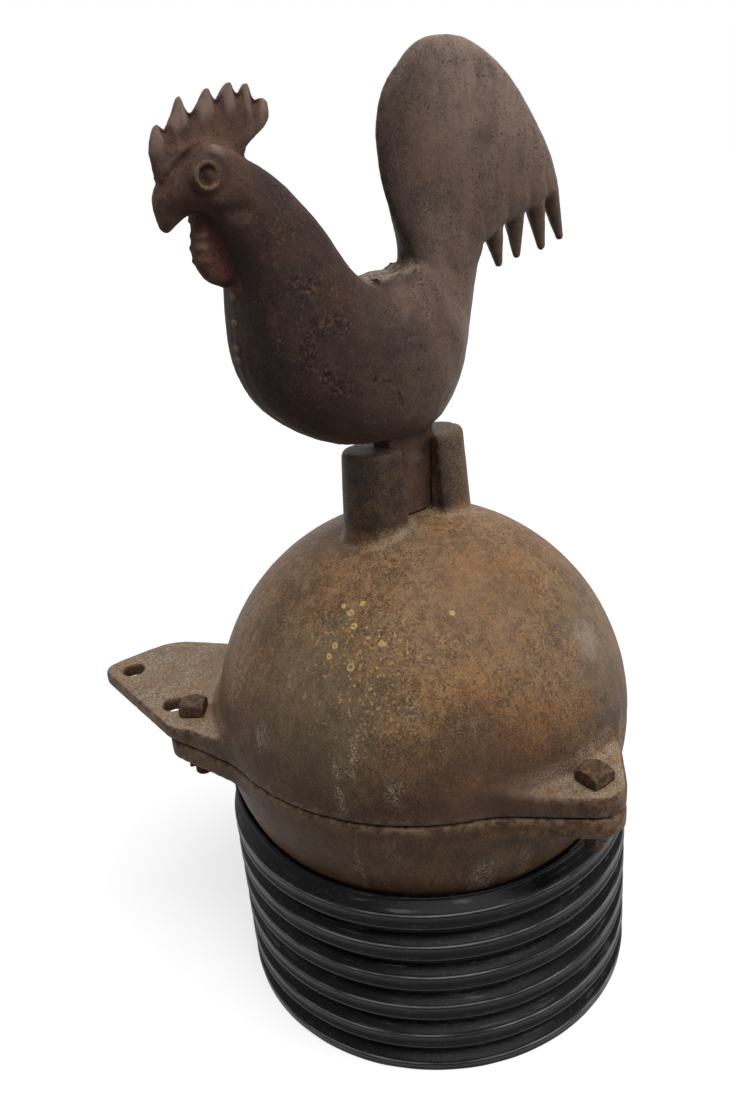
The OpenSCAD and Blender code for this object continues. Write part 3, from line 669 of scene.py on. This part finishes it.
# How far each point moves out along its normal, in mm: the skin's lumps first, then each carved form.
push = -0.35 * (0.5 + 0.5 * lumps(points, size=11 * mm, seed=21))
push -= 0.2 * np.abs(lumps(points, size=3.5 * mm, seed=22))
eye_off = np.hypot(across - EYE[0], up - EYE[1])
for radius, width, height in EYE_RINGS:
    push += height * swell(eye_off - radius, width) * flank
for path, width, height in CARVED_LINES:
    push += height * swell(off_path(flat, path), width) * flank
push -= 1.7 * swell(off_path(flat, JAW), 3.6) * flank * (np.abs(thick) > 6)
for x, z in WATTLE_RIDGES:
    push += 1.6 * swell(up - z, 1.4) * swell(across - x, 4.5) * flank
for x, z in COMB_VALLEYS:
    flute = ((x, z + 2), (x * 0.97 - 3, z - 6), (x * 0.93 - 7, z - 13))
    push -= 1.9 * swell(off_path(flat, flute), 2.3) * flank * ramp(up, z - 14, z)
for x, z in TAIL_VALLEYS:
    groove = ((x, z), (x - 3, z + 10), (x - 8, z + 24))
    push -= 1.1 * swell(off_path(flat, groove), 2.8) * flank * ramp(up, z + 26, z)
pitted = swell(off_path(flat, SCAR), 2.6)
for x, z, radius in FLANK_PITS:
    pitted = np.maximum(pitted, swell(np.hypot(across - x, up - z), radius))
pitted *= flank * (thick < 0)
push -= 2.4 * pitted * np.clip(lumps(points, size=2.4 * mm, seed=24), 0, 1)
seam = swell(thick, 1.3) * (np.hypot(normals[:, 0], normals[:, 2]) > 0.8) * (up > 2)
push += seam * (0.08 + 0.4 * np.clip(lumps(points, size=9 * mm, seed=25), 0, 1))
chips = np.zeros(len(points))
for z in CHIPS:
    breast_x = across[(np.abs(up - z) < 2) & (np.abs(thick) < 3)].min()
    chips = np.maximum(chips, swell(np.hypot(across - breast_x, up - z), 1.7) * swell(thick, 3))
push += 1.2 * chips
gate = (ramp(up, 91, 95) * ramp(up, 106, 100) * ramp(across, -27, -23) * ramp(across, 14, 8)
        * ramp(np.abs(thick), 14.5, 12.5))
broken_face = 1.1 * lumps(points, size=6 * mm, seed=26) + 0.6 * lumps(points, size=2.6 * mm, seed=27)
push += gate * (broken_face - 0.6 - 2.4 * swell(thick, 6))
for edge, low, high in THIN_EDGES:
    blade = (np.abs(thick) < 6.5) & (up > low) & (up < high) & (across < -60)
    inward = ramp(off_path(flat, edge), 0, 6)[blade]
    points[blade, 1] *= EDGE_THICKNESS + (1 - EDGE_THICKNESS) * np.sin(inward * math.pi / 2)
for (start, end), bow, width in BOWS:
    way = np.subtract(end, start)
    share = np.clip((flat - start) @ way / (way @ way), 0, 1)
    reach = bow * np.sin(share * math.pi) * swell(off_path(flat, (start, end)), width) * mm / np.hypot(*way)
    points[:, 0] -= reach * way[1]
    points[:, 2] += reach * way[0]
write_points(rooster.data, points + normals * (push * mm)[:, None])
map_wear(rooster.data, rounds=18, depth=1.5 * mm)
add_mask(rooster.data, "gate", gate)
# Patina and painted shade down the tail's front edge.
add_mask(rooster.data, "tail_front_patina_and_shade", swell(off_path(flat, TAIL_FRONT), 15))
add_mask(rooster.data, "chips", chips)
add_mask(rooster.data, "pitted", pitted)
add_mask(rooster.data, "hackle", swell(off_path(flat, HACKLE), 13) * flank)
# Above 0 on the ring of the eye and below 0 in the pupil.
add_mask(rooster.data, "eye_ring", (swell(eye_off - 4.8, 1.5) - swell(eye_off, 1.9)) * flank)

skin, place = start_finish("rooster_iron", rooster)
worn, gate, pitted, hackle, eye_ring, tail_front_patina_and_shade, chips = (
    place.mask(name) for name in ("worn", "gate", "pitted", "hackle", "eye_ring", "tail_front_patina_and_shade", "chips"))
along, up = place.part("X"), place.part("Z") - BELLY_Z
mottle = place.cloud(20 * mm, 6, 0.68)
streak = place.vector("MULTIPLY", (1, 1, 0.4)).cloud(11 * mm, 5, 0.62)
grain = place.cloud(0.95 * mm, 2, 0.6)
bits = place.vector("ADD", (0, 0.33, 0)).cloud(2.2 * mm, 5, 0.72)
crust = place.cloud(1.8 * mm, 4, 0.7)
# The ground colour warms from the breast to the tail, and each part of the bird has a tint of its own.
# The tail's top is lighter with a painted sheen, and its front edge and the breast are darker,
# with dark patina and painted shade.
dark_iron, tail_brown, black = (0.040, 0.022, 0.0185), (0.138, 0.086, 0.063), (0.009, 0.006, 0.006)
warm = (along + place.cloud(50 * mm, 3) * 0.05).band(-40 * mm, 60 * mm)
tail_top_painted_sheen = up.band(115 * mm, 205 * mm) * along.band(5 * mm, 60 * mm)
breast = along.band(-55 * mm, -106 * mm) * up.band(128 * mm, 104 * mm)
head = along.band(-82 * mm, -98 * mm) * up.band(126 * mm, 140 * mm)
comb = up.band(163 * mm, 172 * mm) * along.band(-62 * mm, -70 * mm)
wattle = (up.band(138 * mm, 133 * mm) * up.band(99 * mm, 103 * mm) * along.band(-93 * mm, -98 * mm)
          * abs(place.part("Y")).band(9 * mm, 7 * mm))
tang = up.band(3 * mm, -2 * mm)
colour = warm.between(dark_iron, tail_brown)
for region, strength, tint in (
        (tail_top_painted_sheen, 0.8, (0.320, 0.228, 0.177)), (tail_front_patina_and_shade, 0.6, (0.050, 0.034, 0.033)),
        (breast, 0.75, (0.015, 0.0100, 0.0100)), (head, 0.65, (0.092, 0.046, 0.032)),
        (comb, 0.7, (0.155, 0.082, 0.056)), (wattle, 0.75, (0.165, 0.064, 0.048)),
        (tang, 0.8, (0.100, 0.050, 0.033))):
    colour = (region * strength).between(colour, tint)
# Mottling, streaks and grain, lighter towards the tail, with pits and flecks of rust.
soot, dull_streak, rust_bloom, fleck_tan = (
    (0.020, 0.014, 0.015), (0.034, 0.025, 0.026), (0.125, 0.066, 0.042), (0.230, 0.135, 0.075))
light_streak = warm.between((0.090, 0.053, 0.040), (0.225, 0.150, 0.110))
light_grain = warm.between((0.105, 0.056, 0.036), (0.240, 0.155, 0.105))
colour = (mottle.band(0.48, 0.64) * (0.55 - warm * 0.2)).between(colour, soot)
colour = (streak.band(0.48, 0.64) * 0.32).between(colour, dull_streak)
colour = (streak.band(0.46, 0.36) * 0.35).between(colour, light_streak)
colour = (place.cloud(26 * mm, 6, 0.68).band(0.50, 0.66) * 0.26).between(colour, rust_bloom)
colour = (grain.band(0.46, 0.62) * 0.26).between(colour, black)
colour = (grain.band(0.50, 0.34) * 0.22).between(colour, light_grain)
pit = place.cloud(1.7 * mm, 3, 0.6).band(0.58, 0.65) * place.cloud(18 * mm, 3).band(0.42, 0.56)
colour = (pit * (1 - comb * 0.7) * 0.75).between(colour, black)
fleck = place.vector("ADD", (0.21, 0, 0)).cloud(1.9 * mm, 4, 0.65).band(0.60, 0.67)
fleck = fleck * place.cloud(24 * mm, 3).band(0.44, 0.58)
colour = (fleck * 0.55).between(colour, fleck_tan)
# The rusty hackle, the eye's tan ring and dark pupil, and the crumbled pits on the flank.
hackle_rust, hackle_ochre, eye_tan = (0.115, 0.052, 0.032), (0.29, 0.155, 0.056), (0.250, 0.155, 0.085)
crumb_tan, crumb_black = (0.155, 0.086, 0.045), (0.008, 0.006, 0.006)
colour = (hackle * mottle.band(0.44, 0.60) * 0.30).between(colour, hackle_rust)
hackle_bits = hackle * bits.band(0.57, 0.65) * place.cloud(10 * mm, 3).band(0.44, 0.58)
colour = (hackle_bits * 0.50).between(colour, hackle_ochre)
colour = (eye_ring.band(0, 1) * bits.band(0.40, 0.56) * 0.7).between(colour, eye_tan)
colour = (eye_ring.band(0, -0.7) * 0.8).between(colour, black)
colour = (pitted * crust.band(0.52, 0.62) * 0.75).between(colour, crumb_tan)
colour = (pitted * crust.band(0.49, 0.40) * 0.80).between(colour, crumb_black)
# Painted shade in the hollows, rubbed edges with a painted highlight on the comb's,
# chips and the bare broken iron of the gate.
painted_hollow_shade, rubbed_edge, comb_edge_wear_and_highlight = (0.016, 0.011, 0.010), (0.225, 0.158, 0.120), (0.290, 0.205, 0.165)
chip_tan, gate_dark, gate_pale = (0.250, 0.170, 0.105), (0.085, 0.060, 0.044), (0.300, 0.230, 0.160)
colour = (worn.band(-0.12, -0.7) * 0.55).between(colour, painted_hollow_shade)
rubbed = worn.band(0.15, 0.7) * place.cloud(5 * mm, 4).band(0.42, 0.56)
colour = (rubbed * 0.50).between(colour, rubbed_edge)
# Painted highlight along the comb's edges, over their wear.
colour = (comb * worn.band(0.05, 0.5) * 0.45).between(colour, comb_edge_wear_and_highlight)
colour = (chips.band(0.2, 0.6) * 0.8).between(colour, chip_tan)
colour = (gate * 0.8).between(colour, crust.band(0.60, 0.36).between(gate_dark, gate_pale))
rough = 0.60 - warm * 0.26 + grain * 0.16 + mottle * 0.08 + fleck * 0.1
height = grain * 0.3 + place.cloud(6 * mm, 5, 0.6) * 0.8 + pitted * crust * 1.6 - pit * 0.5
end_finish(skin, colour, rough, height, depth=0.4 * mm, specular=0.14)
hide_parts("rooster")
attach(rooster, "rooster_casting")

# Floor, light and camera: a pale floor under a broad soft light from above, with a window to one side
# and a pale wall behind, and the camera where the photograph was taken from. White to the camera.
FLOOR_R = 9.0
FLOOR_DROP = 0.3 * mm
# Each light's name, strength, width in degrees and the way it shines.
LIGHTS = (("soft_overhead", 2.7, 50, (0.03, 0.36, -0.93)), ("side_window", 0.9, 24, (-0.62, 0.68, -0.38)),
          ("pale_wall", 0.7, 80, (-0.20, -0.88, -0.42)))
CAMERA_SPOT = Vector((-357.1, -457.1, 552.7)) * mm
CAMERA_AIM = Vector((-12.8, 29.9, 294.2)) * mm
CAMERA_ROLL = math.radians(-5.13)
CAMERA_LENS = 32.727
CAMERA_SENSOR = 36


def seen_directly(tone):
    """1 for what the camera sees, straight or in a polished or clear surface, and 0 otherwise."""
    path = tone.make("ShaderNodeLightPath").socket.node
    seen = [Tone(tone.tree, path.outputs[name]) for name in
            ("Is Camera Ray", "Is Glossy Ray", "Is Transmission Ray")]
    return seen[0].most(seen[1]).most(seen[2])


bm = bmesh.new()
bmesh.ops.create_circle(bm, cap_ends=True, segments=96, radius=FLOOR_R,
                        matrix=Matrix.Translation((0, 0, -FLOOR_DROP)))
floor = add_piece("studio_floor", bpy.data.meshes.new("studio_floor"))
bm.to_mesh(floor.data)
bm.free()
skin, place = start_finish("pale_floor", floor)
floor_unseen, floor_seen, floor_glow = (0.11, 0.11, 0.11), (0.42, 0.42, 0.42), (0.66, 0.66, 0.66)
direct = seen_directly(place)
colour = direct.between(floor_unseen, floor_seen)
rough = 0.9 + place.cloud(0.5) * 0.02
end_finish(skin, colour, rough, place.cloud(0.2), depth=0.01 * mm, specular=0.0)
# No glow under the ring, so that the floor is dark where the ball shades it.
open_floor = place.vector("LENGTH", (0, 0, 0), out=1).band(RING_R - 12 * mm, RING_R)
glow = (direct * open_floor).between((0.0, 0.0, 0.0), floor_glow)
place.tree.links.new(glow.socket, skin.inputs["Emission Color"])
skin.inputs["Emission Strength"].default_value = 1.0

sky = bpy.data.worlds.new("studio_sky")
sky.use_nodes = True
bpy.context.scene.world = sky
background = sky.node_tree.nodes["Background"]
sky_tone = Tone(sky.node_tree, background.outputs[0])
sky_colour = seen_directly(sky_tone).between((0.10, 0.10, 0.103), (1.0, 1.0, 1.0))
sky.node_tree.links.new(sky_colour.socket, background.inputs["Color"])
background.inputs["Strength"].default_value = 1.0

for name, strength, width, way in LIGHTS:
    lamp = bpy.data.lights.new(name, "SUN")
    lamp.energy, lamp.angle = strength, math.radians(width)
    stand = bpy.data.objects.new(name, lamp)
    stand.rotation_mode = "QUATERNION"
    stand.rotation_quaternion = Vector(way).to_track_quat("-Z", "Y")
    bpy.context.scene.collection.objects.link(stand)

camera = bpy.data.cameras.new("photo_camera")
camera.sensor_fit = "VERTICAL"
camera.sensor_height = camera.sensor_width = CAMERA_SENSOR
camera.lens = CAMERA_LENS
camera.clip_start, camera.clip_end = 0.05, 50
tripod = bpy.data.objects.new("photo_camera", camera)
level_view = (CAMERA_AIM - CAMERA_SPOT).to_track_quat("-Z", "Y").to_matrix().to_4x4()
tripod.matrix_world = Matrix.Translation(CAMERA_SPOT) @ level_view @ Matrix.Rotation(CAMERA_ROLL, 4, "Z")
bpy.context.scene.collection.objects.link(tripod)
bpy.context.scene.camera = tripod
bpy.context.scene.view_settings.view_transform = "Standard"
